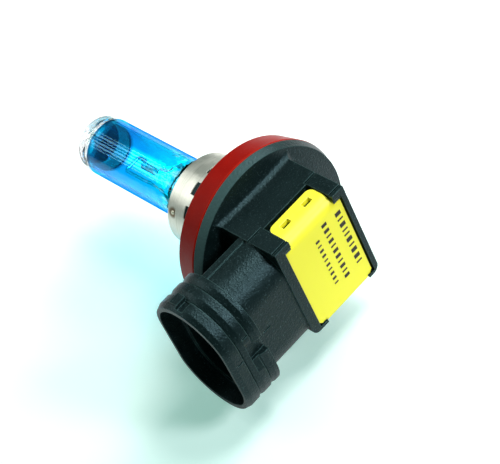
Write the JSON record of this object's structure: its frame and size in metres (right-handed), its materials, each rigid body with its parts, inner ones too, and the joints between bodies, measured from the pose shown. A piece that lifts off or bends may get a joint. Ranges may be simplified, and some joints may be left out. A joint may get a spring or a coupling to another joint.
{
  "type": "headlight bulb",
  "caption": "Halogen headlight bulb: blue-coated glass on a steel bayonet collar, red sealing ring, black plastic base with side connector and yellow rear cover.",
  "frame": {"origin": "on the lamp axis, in the reference plane made by the seating side of the three lugs", "axes": "+Y along the lamp axis to the glass tip, -X out of the connector's mouth, +Z to the edge where the rear cover bends over the block"},
  "size_m": [0.0441, 0.0687, 0.0352],
  "materials": {
    "blue_glass": "clear, blue coated up to the dome",
    "tungsten": "drawn wire",
    "molybdenum": "bright",
    "steel": "satin",
    "red_silicone": "satin",
    "black_plastic": "fine moulded grain",
    "yellow_plastic": "satin",
    "tinned_brass": "tin plated"
  },
  "bodies": {
    "root": {"glass_envelope": "blue_glass", "filament": "tungsten", "short_inner_lead": "molybdenum", "long_inner_lead": "molybdenum", "right_seal_foil": "molybdenum", "left_seal_foil": "molybdenum", "right_outer_lead": "molybdenum", "left_outer_lead": "molybdenum", "pinch_holder": "steel", "bulb_cup": "steel", "base_collar": "steel", "gasket": "red_silicone", "housing": "black_plastic", "rear_cover": "yellow_plastic", "upper_terminal": "tinned_brass", "lower_terminal": "tinned_brass"}
  },
  "joints": []
}
